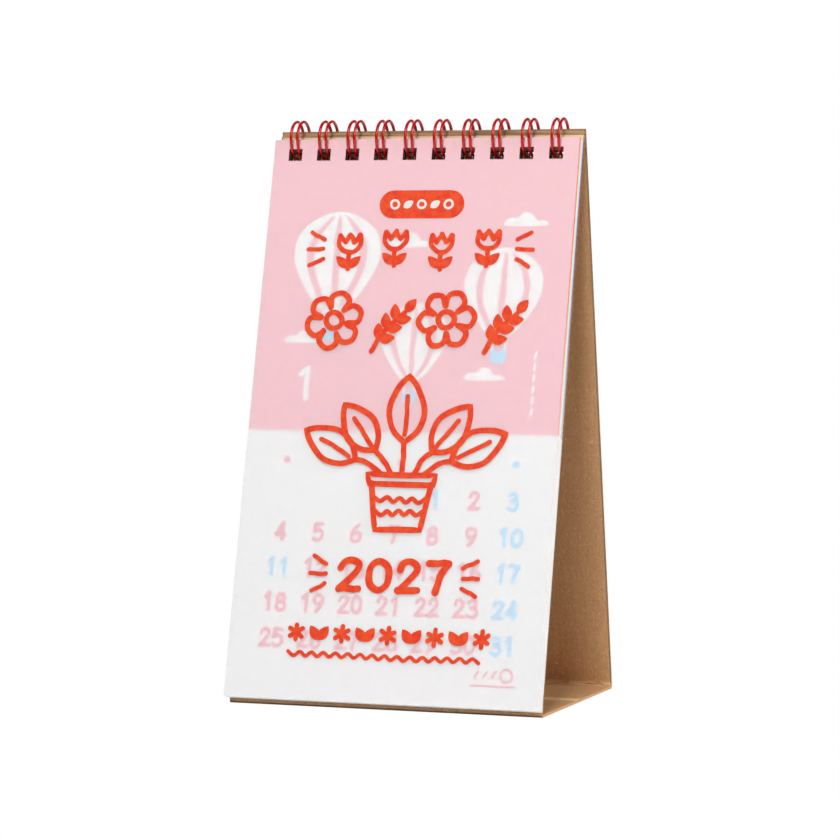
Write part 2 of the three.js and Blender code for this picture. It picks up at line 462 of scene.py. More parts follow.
# Each mark's noise (its stretch along x, y and z, scale, detail, roughness), the levels of that noise
# where the mark starts and is full, its strength, and its colour or its share of the board's own
BOARD_MARKS = {
    "streaks": ((1.6, 0.12, 0.12), 0.9, 3.0, 0.6, 0.42, 0.72, 0.35, 0.74),
    "pulp": ((1.0, 1.0, 1.0), 1.5, 5.0, 0.7, 0.42, 0.66, 0.5, 0.68),
    "fibres_up": ((3.4, 0.6, 0.6), 1.3, 2.0, 0.55, 0.56, 0.72, 0.3, PALE_FIBRE_AND_HIGHLIGHT),
    "fibres_across": ((0.5, 3.2, 3.2), 1.1, 2.0, 0.55, 0.62, 0.76, 0.4, 0.55),
    "specks": ((1.0, 1.0, 1.0), 2.1, 1.0, 0.4, 0.74, 0.78, 0.5, 0.35),
    "pale_specks": ((1.0, 0.7, 0.7), 1.35, 1.0, 0.4, 0.68, 0.76, 0.4, PALE_FIBRE_AND_HIGHLIGHT),
}
BUMP_SHARES = {"pulp": 0.6, "fibres_up": 0.3, "streaks": 0.5}
FOLD_WRINKLE_REACH = 3.2
WRINKLE_MARK_REACH = 2.8
CREASE_SHINE = 6.2
CREASE_RAGGED = 9.0
TOP_STREAKS = 0.3
TOP_PALE = 3.0
LAYERS_PER_MM = 5.0
BASE_REACH = 5.0
RIM_WIDTH = 0.5
RIM_START = 1.5
EDGE_REACH = 1.0


def tone(shade):
    """A colour as it is, or the board's colour times a factor."""
    return shade if isinstance(shade, tuple) else scaled_colour(KRAFT, shade)


def stain(n, colour, where, share, shade):
    """A colour with a tone laid over it."""
    return n.mix(n.times(where, share), colour, tone(shade))


def kraft_material():
    """Uncoated kraft board: cloudy pulp, fibres both ways, pale and dark flecks, layered cut edges, and
    painted light and shade at its top, folds, side edges, cut edges and holes.
    """
    n = Nodes("kraft_board")
    place = n.position()
    level = n.part(place, "Z")
    aside = n.size(n.minus(n.part(place, "X"), BOARD_SHIFT))
    wrinkles = n.noise(n.stretched(place, (0.2, 1.1, 1.8)), 1.2, 3.0, 0.6)
    cloud = n.noise(place, 0.09, 5.0, 0.6)
    colour = n.mix(n.ramp(cloud, 0.33, 0.68), tone(0.96), tone(1.05))
    marks = {}
    for name, (stretch, scale, detail, roughness, low, high, share, shade) in BOARD_MARKS.items():
        marks[name] = n.noise(n.stretched(place, stretch), scale, detail, roughness)
        colour = stain(n, colour, n.ramp(marks[name], low, high), share, shade)
    # Painted highlight and painted shade at the board's top
    colour = top_band(n, place, colour)
    # Pale rubbed fibre, painted highlights and painted shade at the folds
    colour = worn_folds(n, place, level, wrinkles, colour)
    # A dark rim along the board's sides: painted shade at its side edges
    rim = n.ramp(aside, BOARD_WIDTH / 2 - RIM_WIDTH, BOARD_WIDTH / 2 - 0.4 * RIM_WIDTH)
    colour = stain(n, colour, n.times(rim, n.above(level, RIM_START)), 0.7, 0.36)
    # Cut sides and top edges: layers darkened as painted shade, and painted shade in the holes
    colour = n.mix(cut_edge(n, level), colour, cut_colour(n, place, level, aside))
    grain = n.times(n.ramp(marks["pale_specks"], 0.62, 0.76), 0.6)
    for name, share in BUMP_SHARES.items():
        grain = n.plus(grain, n.times(marks[name], share))
    near_fold = n.ramp(fold_distance(n, place, front_fold, crease, rear_fold), FOLD_WRINKLE_REACH, 0.5)
    creased = n.bump(n.times(wrinkles, near_fold), 0.7, 0.9, n.bump(grain, 0.6, 0.25))
    roughness = n.plus(n.times(marks["pulp"], 0.2), 0.6)
    return n.surface(n.principled(colour, roughness, creased, specular_ior_level=0.35))


def top_band(n, place, colour):
    """The board's top: a pale band as a painted highlight of its lit face, and drawn dark streaks at its
    very edge as painted shade between the boards.
    """
    height = page_height(n, place)
    pale = n.ramp(height, board_top - TOP_PALE - 0.3, board_top - TOP_PALE)
    colour = stain(n, colour, pale, 0.85, PALE_FIBRE_AND_HIGHLIGHT)
    drawn = n.noise(n.stretched(place, (0.04, 1.7, 1.7)), 1.0, 2.0, 0.5)
    streaks = n.mix(n.ramp(drawn, 0.42, 0.56), tone(0.95), tone(0.45))
    top = n.ramp(height, board_top - TOP_STREAKS - 0.2, board_top - TOP_STREAKS)
    return n.mix(n.times(top, 0.9), colour, streaks)


def worn_folds(n, place, level, wrinkles, colour):
    """Pale rubbed fibre and painted highlights on the wrinkles at the inner folds, painted shade in their
    hollows, a painted highlight along the crease, and painted contact shade at the foot of the front fold.
    """
    inner = fold_distance(n, place, crease, rear_fold)
    # Painted highlights on the fold wrinkles, with pale rubbed fibre
    rubbed_and_lit = n.times(n.ramp(wrinkles, 0.41, 0.48), n.ramp(inner, WRINKLE_MARK_REACH, 1.4))
    # Painted shade in the wrinkles' hollows
    wrinkle_shade = n.times(n.ramp(wrinkles, 0.39, 0.33), n.ramp(inner, WRINKLE_MARK_REACH, 1.0))
    # A painted highlight along the crease, ragged at its edge
    ragged = n.plus(fold_distance(n, place, crease), n.times(wrinkles, CREASE_RAGGED))
    shine = n.ramp(ragged, CREASE_SHINE + 1.5, CREASE_SHINE)
    # Painted contact shade at the foot of the front fold
    foot = n.times(n.ramp(level, 0.75, 0.35), n.ramp(fold_distance(n, place, front_fold), 2.2, 1.6))
    colour = stain(n, colour, rubbed_and_lit, 0.9, RUBBED_FIBRE_AND_SHINE)
    colour = stain(n, colour, wrinkle_shade, 0.7, 0.5)
    colour = stain(n, colour, shine, 0.7, RUBBED_FIBRE_AND_SHINE)
    return stain(n, colour, foot, 0.85, 0.32)


def cut_colour(n, place, level, aside):
    """The colour of a cut side: layers darkened as painted shade, plain near the table, and in the holes a
    painted shade tinted dark red as a painted reflection of the wire.
    """
    layers = n.noise(n.stretched(place, (0.03, 1.0, 0.23)), LAYERS_PER_MM, 2.0, 0.5)
    # The layers are darkened to painted shade
    cut = n.mix(n.ramp(layers, 0.4, 0.6), tone(0.22), tone(0.65))
    cut = n.mix(n.ramp(level, BASE_REACH, 1.0), cut, tone(1.1))
    hole_middle = (board_top - BOARD_MARGIN - HOLE_HEIGHT / 2) * front_slope.up.y
    off_middle = n.size(n.minus(level, hole_middle))
    in_hole = n.times(n.below(off_middle, HOLE_HEIGHT), n.below(aside, BOARD_WIDTH / 2 - EDGE_REACH))
    return n.mix(in_hole, cut, HOLE_SHADE)


def cut_edge(n, level):
    """1 on the board's cut sides and top edges, else 0."""
    side = n.above(n.size(n.part(n.normal(), "X")), 0.8)
    top = n.times(n.above(level, BASE_REACH), n.above(n.part(n.normal(), "Z"), 0.7))
    return n.math("MAXIMUM", side, top)


def fold_distance(n, place, *folds):
    """Distance in the side plane to the nearest of some fold lines."""
    flat = n.stretched(place, (0.0, 1.0, 1.0))
    nearest, *others = [n.vector_math("DISTANCE", flat, (0.0, *fold), "Value") for fold in folds]
    for distance in others:
        nearest = n.math("MINIMUM", nearest, distance)
    return nearest


# Paper, ink and wire

EDGE_TINT = 0.8
TINT_START = -30.0
TINT_FULL = 60.0
COVER_VEIL = 0.5


def paper_bump(n, place):
    return n.bump(n.noise(place, 3.4, 3.0, 0.6), 0.18, 0.05)


def page_height(n, place):
    """How far up the front slope a point lies from its fold."""
    along_y = n.times(n.minus(n.part(place, "Y"), front_fold.x), front_slope.up.x)
    return n.plus(along_y, n.times(n.part(place, "Z"), front_slope.up.y))


def printed_edge(n, value, edge, plain, veiled):
    """0 below an edge of a print and 1 above it, blurred more where it is seen through the cover."""
    through_cover = n.above(n.ray("Transparent Depth"), 0.5)
    blur = n.plus(n.times(through_cover, veiled), plain)
    return n.ramp(value, n.minus(edge, blur), n.plus(edge, blur))


def month_material(name, colour, edge_height):
    """White card, its front printed in one colour down to edge_height, its sides tinged towards the top and
    painted brighter as painted light, and painted shade on the walls of its holes.
    """
    n = Nodes(name)
    place = n.position()
    height = page_height(n, place)
    printed = printed_edge(n, height, edge_height, 0.06, 0.7)
    facing = n.vector_math("DOT_PRODUCT", n.normal(), (0.0, *front_slope.out), "Value")
    front = n.above(facing, 0.5)
    back = n.below(facing, -0.5)
    side = n.minus(1.0, n.plus(front, back))
    outer = n.above(n.size(n.part(place, "X")), SHEET_WIDTH / 2 - EDGE_REACH)
    tint = n.times(n.ramp(height, edge_height + TINT_START, edge_height + TINT_FULL), EDGE_TINT)
    share = n.plus(n.times(front, printed), n.times(n.times(side, outer), tint))
    mottle = n.noise(place, 0.9, 4.0, 0.7)
    ink = n.mix(n.ramp(mottle, 0.3, 0.7), scaled_colour(colour, 0.97), scaled_colour(colour, 1.03))
    # Cut sides in a brighter white: painted light
    base = n.mix(share, n.mix(side, WHITE_PAPER, LIT_CUT_PAPER), ink)
    # The walls of the holes get painted shade
    hole_top = edge_height - COLOUR_EDGE + SHEET_LENGTH - SHEET_MARGIN / 2
    inside = n.times(n.above(height, edge_height), n.below(height, hole_top))
    punched = n.times(n.times(side, n.minus(1.0, outer)), inside)
    base = n.mix(punched, base, HOLE_SHADE)
    return n.surface(n.principled(base, 0.82, paper_bump(n, place), specular_ior_level=0.2))


def cover_material():
    """Translucent paper: a pale veil over what lies beneath, cloudy like parchment."""
    n = Nodes("translucent_paper")
    place = n.position()
    clouds = n.noise(place, 0.35, 5.0, 0.65)
    veil = n.plus(n.times(clouds, 0.04), COVER_VEIL - 0.02)
    inner_face = n.add("ShaderNodeNewGeometry", "Backfacing")
    shown = n.minus(1.0, n.math("MAXIMUM", inner_face, n.ray("Is Shadow Ray")))
    paper = n.principled(COVER_PAPER, 0.55, paper_bump(n, place), specular_ior_level=0.3)
    clear = n.mix(shown, (1, 1, 1, 1), scaled_colour(COVER_PAPER, 1.02))
    return n.veil(n.times(veil, shown), paper, clear)


def ink_material(name, deep, pale, soft):
    """Printed ink, patchy from deep to pale. A soft one fades at its rim when seen through the cover."""
    n = Nodes(name)
    place = n.position()
    shade = n.mix(n.ramp(n.noise(place, 0.42, 4.0, 0.7), 0.38, 0.62), deep, pale)
    ink = n.principled(shade, 0.6, paper_bump(n, place), specular_ior_level=0.25)
    if not soft:
        return n.surface(ink)
    depth = n.add("ShaderNodeAttribute", "Fac", attribute_name="ink")
    inked = printed_edge(n, depth, 0.5, 0.05, 0.32)
    return n.veil(n.times(inked, n.minus(1.0, n.ray("Is Shadow Ray"))), ink)


def wire_material():
    """Steel wire in a glossy red nylon coat with faint draw marks."""
    n = Nodes("red_coated_wire")
    marks = n.noise(n.position(), 1.7)
    colour = n.mix(n.ramp(marks, 0.3, 0.7), srgb(176, 2, 6), srgb(208, 6, 9))
    roughness = n.plus(n.times(marks, 0.08), 0.14)
    return n.surface(n.principled(colour, roughness, n.bump(marks, 0.12, 0.04),
                                  specular_ior_level=0.9, specular_tint=srgb(255, 200, 190)))


# Ink strokes

def around(centre, size, pairs):
    """Points given in shares of a size, from a centre."""
    return [(centre[0] + u * size, centre[1] + v * size) for u, v in pairs]


def circle(centre, width, count, start=0.0, sweep=2 * math.pi):
    """Points of a circle, or of an arc of one with both its ends."""
    angles = steps(start, start + sweep, count)
    if sweep == 2 * math.pi:
        angles.pop()
    return around(centre, width / 2, [(math.cos(angle), math.sin(angle)) for angle in angles])


def double_area(ring):
    """Twice the area inside a ring of points, above 0 where it runs anticlockwise."""
    return sum(a[0] * b[1] - b[0] * a[1] for a, b in zip(ring, ring[1:] + ring[:1]))


class Ink:
    """Flat shapes of one ink on one page, gathered into one mesh."""

    def __init__(self, wobble=BRUSH_WOBBLE):
        self.points, self.faces, self.depth, self.layer = [], [], [], []
        self.wobble = wobble
        self.drawn = 0
        self.rng = random.Random(DRAW_SEED)

    def add_point(self, u, v, depth):
        self.points.append((u, v))
        self.depth.append(depth)
        self.layer.append(self.drawn % INK_LAYERS)
        return len(self.points) - 1

    def by_hand(self, line, widths, closed):
        """The line and its widths with the slow unevenness of a brush pen."""
        ends = line + line[:1] if closed else line
        spots, reach = [], []
        for i, (a, b) in enumerate(zip(ends, ends[1:])):
            parts = max(1, round((b - a).length / HAND_STEP))
            for k in range(parts):
                t = k / parts
                spots.append(a.lerp(b, t))
                reach.append(widths[i] * (1 - t) + widths[(i + 1) % len(widths)] * t)
        if not closed:
            spots.append(line[-1])
            reach.append(widths[-1])
        phase = [self.rng.uniform(0, 2 * math.pi) for _ in range(5)]
        count = len(spots)
        for i, spot in enumerate(spots):
            turn = 2 * math.pi * i / count
            spots[i] = spot + self.wobble * Vector((
                math.sin(turn + phase[0]) + 0.5 * math.sin(3 * turn + phase[1]),
                math.sin(turn + phase[2]) + 0.5 * math.sin(2 * turn + phase[3])))
            reach[i] *= 1 + 0.07 * math.sin(2 * turn + phase[4])
        return spots, reach

    def ring(self, centre_line, offset, depth, closed):
        """Points beside a line, on its left where offset is positive."""
        made = []
        count = len(centre_line)
        for i, point in enumerate(centre_line):
            before = centre_line[i - 1] if (i or closed) else point
            after = centre_line[(i + 1) % count] if (i < count - 1 or closed) else point
            heading = (after - before).normalized()
            normal = Vector((-heading.y, heading.x))
            reach = offset[i] if isinstance(offset, list) else offset
            spot = point + normal * reach
            made.append(self.add_point(spot.x, spot.y, depth))
        return made

    def bridge(self, first, second, closed):
        count = len(first)
        for i in range(count if closed else count - 1):
            j = (i + 1) % count
            self.faces.append((first[i], first[j], second[j], second[i]))

    def stroke(self, line, width, closed=False, feather=FEATHER):
        """A brush line with round ends and a feathered rim."""
        self.drawn += 1
        line = [Vector(p) for p in line]
        widths = width if isinstance(width, list) else [width] * len(line)
        line, widths = self.by_hand(line, widths, closed)
        feather = min(feather, 0.8 * min(widths))
        inner = [w / 2 - feather / 2 for w in widths]
        outer = [w / 2 + feather / 2 for w in widths]
        left_in = self.ring(line, inner, 1.0, closed)
        left_out = self.ring(line, outer, 0.0, closed)
        right_in = self.ring(line, [-w for w in inner], 1.0, closed)
        right_out = self.ring(line, [-w for w in outer], 0.0, closed)
        self.bridge(left_in, left_out, closed)
        self.bridge(right_in, left_in, closed)
        self.bridge(right_out, right_in, closed)
        if not closed:
            self.cap(line[0], line[0] - line[1], inner[0], outer[0])
            self.cap(line[-1], line[-1] - line[-2], inner[-1], outer[-1])

    def cap(self, centre, heading, inner, outer):
        start = math.atan2(heading.y, heading.x) - math.pi / 2
        hub = self.add_point(centre.x, centre.y, 1.0)
        rings = []
        for radius, depth in ((inner, 1.0), (outer, 0.0)):
            arc = circle(centre, 2 * radius, CAP_STEPS, start, math.pi)
            rings.append([self.add_point(u, v, depth) for u, v in arc])
        for i in range(CAP_STEPS):
            self.faces.append((hub, rings[0][i], rings[0][i + 1]))
        self.bridge(rings[0], rings[1], False)

    def shape(self, outline, feather=FEATHER):
        """A filled outline with a feathered rim."""
        self.drawn += 1
        outline = [Vector(p) for p in outline]
        if double_area(outline) < 0:
            outline.reverse()
        inner = self.ring(outline, feather / 2, 1.0, True)
        outer = self.ring(outline, -feather / 2, 0.0, True)
        self.bridge(outer, inner, True)
        flat = [Vector((*self.points[i], 0.0)) for i in inner]
        for triangle in tessellate_polygon([flat]):
            self.faces.append(tuple(inner[k] for k in triangle))

    def piece(self, name, place, lift, material):
        """The mesh, laid on its page by place with all faces towards the reader."""
        faces = []
        for face in self.faces:
            area = double_area([self.points[i] for i in face])
            if abs(area) > 1e-9:
                faces.append(face if area > 0 else tuple(reversed(face)))
        verts = [place(u, v, lift + layer * INK_STEP) for (u, v), layer in zip(self.points, self.layer)]
        made = new_object(name, verts, faces, material)
        attribute = made.data.attributes.new("ink", "FLOAT", "POINT")
        attribute.data.foreach_set("value", self.depth)
        return made


def curve(points, per=6, closed=False):
    """A smooth line through a few chosen points."""
    points = [Vector(p) for p in points]
    count = len(points)
    line = []
    for i in range(count if closed else count - 1):
        if closed:
            a, b, c, d = (points[(i + k) % count] for k in (-1, 0, 1, 2))
        else:
            b, c = points[i], points[i + 1]
            a = points[i - 1] if i else b * 2 - c
            d = points[i + 2] if i + 2 < count else c * 2 - b
        for k in range(per):
            t = k / per
            line.append(0.5 * (2 * b + (c - a) * t + (2 * a - 5 * b + 4 * c - d) * t * t
                               + (3 * b - a - 3 * c + d) * t ** 3))
    if not closed:
        line.append(points[-1])
    return line


# Digits as brush lines in a cell 0.6 wide and 1 high
DIGITS = {
    "0": [("loop", [(0.3, 1), (0.08, 0.82), (0.02, 0.5), (0.08, 0.18), (0.3, 0), (0.52, 0.18),
                    (0.58, 0.5), (0.52, 0.82)])],
    "1": [("line", [(0.12, 0.8), (0.34, 1)]), ("line", [(0.34, 1), (0.34, 0)])],
    "2": [("curve", [(0.05, 0.74), (0.14, 0.93), (0.33, 1), (0.52, 0.88), (0.51, 0.65), (0.3, 0.35),
                     (0.04, 0.02)]), ("line", [(0.04, 0.02), (0.58, 0.02)])],
    "3": [("curve", [(0.06, 0.88), (0.26, 1), (0.5, 0.88), (0.47, 0.64), (0.24, 0.55)]),
          ("curve", [(0.24, 0.55), (0.52, 0.46), (0.57, 0.2), (0.34, 0), (0.04, 0.1)])],
    "4": [("line", [(0.42, 1), (0.03, 0.3)]), ("line", [(0.03, 0.3), (0.6, 0.3)]),
          ("line", [(0.42, 1), (0.42, 0)])],
    "5": [("line", [(0.54, 1), (0.12, 1)]), ("line", [(0.12, 1), (0.08, 0.56)]),
          ("curve", [(0.08, 0.56), (0.32, 0.64), (0.55, 0.5), (0.55, 0.18), (0.3, 0), (0.03, 0.1)])],
    "6": [("curve", [(0.44, 1), (0.2, 0.76), (0.05, 0.42), (0.09, 0.12), (0.32, 0), (0.54, 0.13),
                     (0.55, 0.42), (0.34, 0.56), (0.12, 0.44)])],
    "7": [("line", [(0.03, 0.98), (0.57, 0.98)]), ("curve", [(0.57, 0.98), (0.36, 0.52), (0.24, 0)])],
    "8": [("loop", [(0.3, 1), (0.1, 0.88), (0.11, 0.65), (0.3, 0.54), (0.49, 0.65), (0.5, 0.88)]),
          ("loop", [(0.3, 0.54), (0.06, 0.4), (0.06, 0.12), (0.3, 0), (0.54, 0.12), (0.54, 0.4)])],
    "9": [("curve", [(0.16, 0), (0.4, 0.24), (0.55, 0.58), (0.51, 0.88), (0.28, 1), (0.06, 0.87),
                     (0.05, 0.58), (0.26, 0.44), (0.48, 0.56)])],
}


def write_number(ink, text, centre, height, width, feather=FEATHER, stretch=1.0):
    """A number, centred on a point. Its digits can be stretched sideways."""
    left = centre[0] - stretch * height * (DIGIT_ADVANCE * (len(text) - 1) + DIGIT_WIDTH) / 2
    base = centre[1] - height / 2
    for i, digit in enumerate(text):
        for kind, points in DIGITS[digit]:
            spots = [(left + (x + DIGIT_ADVANCE * i) * stretch * height, base + y * height)
                     for x, y in points]
            line = spots if kind == "line" else curve(spots, 4, closed=kind == "loop")
            ink.stroke(line, width, closed=kind == "loop", feather=feather)


def month_grid(ink_plain, ink_blue, month):
    """The month's dates in rows of seven from Monday, with marks for the weekdays above."""
    def inked(column, day=0):
        return ink_blue if column == calendar.SUNDAY or (month, day) in HOLIDAYS else ink_plain

    for row, week in enumerate(calendar.Calendar(0).monthdayscalendar(YEAR, month)):
        for column, day in enumerate(week):
            if day:
                spot = (GRID_LEFT + GRID_COLUMN * column, GRID_TOP - GRID_ROW * row)
                write_number(inked(column, day), str(day), spot, GRID_DIGIT, GRID_STROKE)
    for column in range(7):
        inked(column).shape(circle((GRID_LEFT + GRID_COLUMN * column, HEADER_HEIGHT), HEADER_MARK, 16))


# Pages

def page_place(node, belly, shift=0.0):
    """Page coordinates to the piece's own, for a sheet that bellies out a little in its middle.

    The sheets hang level at their feet and fan out at their sides, but their holes stay in line.
    """
    middle, s_low, h_low, _ = slab_limits(node)
    foot = slab_limits("cover_sheet")[1]

    def place(u, v, h):
        below = max(HOLE_FOOT - v, 0.0)
        across = 1 - SIDE_LOSS * (2 * u / SHEET_WIDTH) ** 2
        wave = 0.75 + 0.25 * math.cos(math.pi * (v - BELLY_MIDDLE) / BELLY_WAVE)
        out = belly * smooth(below / BELLY_RUN) * across * wave
        x = middle + u + shift * smooth((abs(u) - FAN_START) / FAN_RUN)
        s = s_low + v + (foot - s_low) * below / HOLE_FOOT
        return front_slope.point(x, s, h_low + out + h)

    return place


def sheet_page(name, node, place, material):
    """A sheet's paper: even rows up to its holes, then the holes' top and its own."""
    heights = steps(0.0, HOLE_FOOT, SHEET_STEPS) + [HOLE_FOOT + HOLE_HEIGHT, SHEET_LENGTH]
    thickness = sheet_thickness(node)
    rows = [((v, thickness), (v, 0.0)) for v in heights]
    return slab(name, hole_columns(), rows, place, material, SHEET_STEPS)


def attach(piece, body, slot, *nodes):
    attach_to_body(piece, body)
    if nodes:
        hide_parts(*nodes)


def build_months():
    """The twelve month sheets, January in front, and the place of each page."""
    rng = random.Random(DRAW_SEED)
    places = {}
    for month in range(1, 13):
        name = calendar.month_name[month].lower()
        node = f"{name}_sheet"
        shift = FAN_SHIFT * (month - 1) / 11 + rng.uniform(-FAN_JITTER, FAN_JITTER)
        places[month] = page_place(node, MONTH_BELLY, shift)
        edge_height = slab_limits(node)[1] + COLOUR_EDGE
        material = month_material(f"{name}_paper", MONTH_COLOURS[month - 1], edge_height)
        page = sheet_page(f"{name}_page", node, places[month], material)
        attach(page, "january_leaf" if month == 1 else "month_pad", f"{name}_paper", node)
    return places


# Prints of the months

def balloon(white, stripes, blue, centre, size):
    """A hot-air balloon: striped envelope, ropes and a basket."""
    envelope = ((0, 0.62), (-0.42, 0.42), (-0.5, 0.05), (-0.28, -0.36), (-0.1, -0.52), (0.1, -0.52),
                (0.28, -0.36), (0.5, 0.05), (0.42, 0.42))
    white.shape(curve(around(centre, size, envelope), 5, closed=True))
    stripe = ((0.35, 0.54), (1, 0.3), (1.12, 0), (0.7, -0.3), (0.3, -0.47))
    for k in (-1, 0, 1):
        line = curve(around(centre, size, [(0.27 * k * u, v) for u, v in stripe]), 5)
        last = len(line) - 1
        swell = [0.45 + 0.55 * math.sin(math.pi * i / last) for i in range(last + 1)]
        stripes.stroke(line, [size * 0.085 * share for share in swell])
    for side in (-1, 1):
        white.stroke(around(centre, size, ((0.09 * side, -0.52), (0.08 * side, -0.7))), 0.7)
    basket = ((-0.11, -0.7), (0.11, -0.7), (0.085, -0.86), (-0.085, -0.86))
    blue.shape(around(centre, size, basket))


def cloud(ink, centre, width):
    """A small cloud from three bumps on a flat base."""
    outline = ((-1, 0), (-0.82, 0.34), (-0.42, 0.36), (-0.1, 0.62), (0.32, 0.5), (0.52, 0.24),
               (0.9, 0.22), (1, 0), (0, -0.06))
    ink.shape(curve(around(centre, width / 2, outline), 5, closed=True))


def star(ink, centre, reach, width, start=0.0):
    """Three strokes that cross in one point."""
    for k in range(3):
        arm = direction(math.pi * k / 3 + start) * reach
        ink.stroke([Vector(centre) - arm, Vector(centre) + arm], width)


def month_figure(ink, month):
    write_number(ink, str(month), MONTH_PLACE, 8.4, 1.5)


def lay_inks(inks, month, body, place, lift):
    """One piece for each ink of a month's page."""
    for kind, ink, colour, more in inks:
        name = f"{month}_{kind}"
        material = ink_material(name, scaled_colour(colour, 0.95), scaled_colour(colour, 1.04), True)
        attach(ink.piece(name, place, lift + more, material), body, f"{month}_paper")


def print_january(place, lift):
    """January's print: balloons and clouds over the dates, and a small mark in a corner."""
    white, stripes, blue = Ink(), Ink(), Ink()
    dates, blue_dates = Ink(STEADY), Ink(STEADY)
    for x, y, size in ((-23, 121.5, 25), (26, 113, 22), (1.5, 99, 19)):
        balloon(white, stripes, blue, (x, y), size)
    for x, y, width in ((-2, 127, 13), (-31, 99.5, 10), (31, 133, 12), (22.5, 89.5, 11)):
        cloud(white, (x, y), width)
    month_figure(white, 1)
    for k in range(6):
        white.stroke([(36.6, 97.0 - 3.1 * k), (36.6, 95.6 - 3.1 * k)], 0.8)
    month_grid(dates, blue_dates, 1)
    dates.stroke([(25.5, 6.0), (37.5, 6.0)], 0.55)
    dates.stroke(circle((35.2, 8.9), 3.4, 18), 0.6, closed=True)
    for k in range(3):
        dates.stroke([(26.4 + 2.4 * k, 8.2), (27.4 + 2.4 * k, 9.8)], 0.6)
    lay_inks((
        ("white_print", white, WHITE_INK, 0.0),
        ("pink_print", stripes, MONTH_COLOURS[0], PRINT_RISE),
        ("blue_print", blue, BLUE_INK, PRINT_RISE),
        ("dates", dates, DIGIT_COLOUR, 0.0),
        ("holiday_dates", blue_dates, BLUE_INK, 0.0),
    ), "january", "january_leaf", place, lift)


def print_february(place, lift):
    """February's print, seen once January is turned: rows of snow stars over the dates."""
    white, dates, blue_dates = Ink(), Ink(STEADY), Ink(STEADY)
    for row in range(4):
        for column in range(6):
            x = -33.0 + 13.2 * column + (6.6 if row % 2 else 0.0)
            y = 93.0 + 13.5 * row
            beside_figure = x < -22 and y < 96
            if abs(x) <= 40 and not beside_figure:
                star(white, (x, y), 3.0, 0.8)
    month_figure(white, 2)
    month_grid(dates, blue_dates, 2)
    lay_inks((
        ("white_print", white, WHITE_INK, 0.0),
        ("dates", dates, MONTH_COLOURS[1], 0.0),
        ("holiday_dates", blue_dates, BLUE_INK, 0.0),
    ), "february", "month_pad", place, lift)


# Print of the cover

def leaf_sides(root, tip, fullness):
    """The two sides of a leaf, each from its root to its tip."""
    root, tip = Vector(root), Vector(tip)
    along = tip - root
    side = Vector((-along.y, along.x)) * fullness
    profile = ((0.0, 0.0), (0.2, 0.72), (0.5, 1.0), (0.82, 0.55), (1.0, 0.0))
    return [curve([root + along * t + side * (turn * reach) for t, reach in profile], 6)
            for turn in (1, -1)]


def leaf(ink, root, tip, fullness, width):
    """A leaf drawn in outline, with a midrib."""
    left, right = leaf_sides(root, tip, fullness)
    ink.stroke(left + right[-2:0:-1], width, closed=True)
    ink.stroke([root.lerp(tip, 0.12), root.lerp(tip, 0.7)], 0.8 * width)


def solid_leaf(ink, root, tip, fullness=0.3):
    left, right = leaf_sides(root, tip, fullness)
    ink.shape(left + right[-2:0:-1], 0.12)


def blossom(ink, centre, size, width, turn):
    """A flower with rounded petals, drawn petal by petal round a ring."""
    centre = Vector(centre)
    half = math.pi / PETALS
    for k in range(PETALS):
        spots = []
        for share, reach in ((-1, 0.5), (-0.72, 0.86), (0, 1.0), (0.72, 0.86), (1, 0.5)):
            angle = turn + 2 * half * k + share * half
            spots.append(centre + direction(angle) * reach * size / 2)
        ink.stroke(curve(spots, 5), width)
    ink.stroke(circle(centre, size * 0.3, 16), width, closed=True)


def twig(ink, foot, tip, width):
    """A bowed stem with three pairs of solid leaves, and one leaf at its end."""
    foot, tip = Vector(foot), Vector(tip)
    along = tip - foot
    side = Vector((-along.y, along.x))
    stem = curve([foot, foot + along * 0.5 + side * 0.07, tip], 8)
    ink.stroke(stem, width)
    reach = along.length * 0.34
    for k in range(3):
        at = stem[round(len(stem) * (0.22 + 0.25 * k))]
        for turn in (-1, 1):
            heading = (along.normalized() + side.normalized() * turn * 0.95).normalized()
            solid_leaf(ink, at, at + heading * reach)
    solid_leaf(ink, tip, tip + along.normalized() * reach)


def tulip(ink, centre, size, width):
    """A cup-shaped bloom on a stem, with a leaf on each side."""
    cup = ((-0.3, 0.5), (-0.31, 0.22), (-0.16, 0.04), (0, 0), (0.16, 0.04), (0.31, 0.22), (0.3, 0.5))
    ink.stroke(curve(around(centre, size, cup), 5), width)
    rim = around(centre, size, ((-0.3, 0.5), (-0.14, 0.3), (0, 0.52), (0.14, 0.3), (0.3, 0.5)))
    for ends in zip(rim, rim[1:]):
        ink.stroke(ends, width)
    ink.stroke(around(centre, size, ((0, 0), (0, -0.5))), width)
    for turn in (-1, 1):
        solid_leaf(ink, *around(centre, size, ((0, -0.46), (turn * 0.36, -0.12))), 0.26)


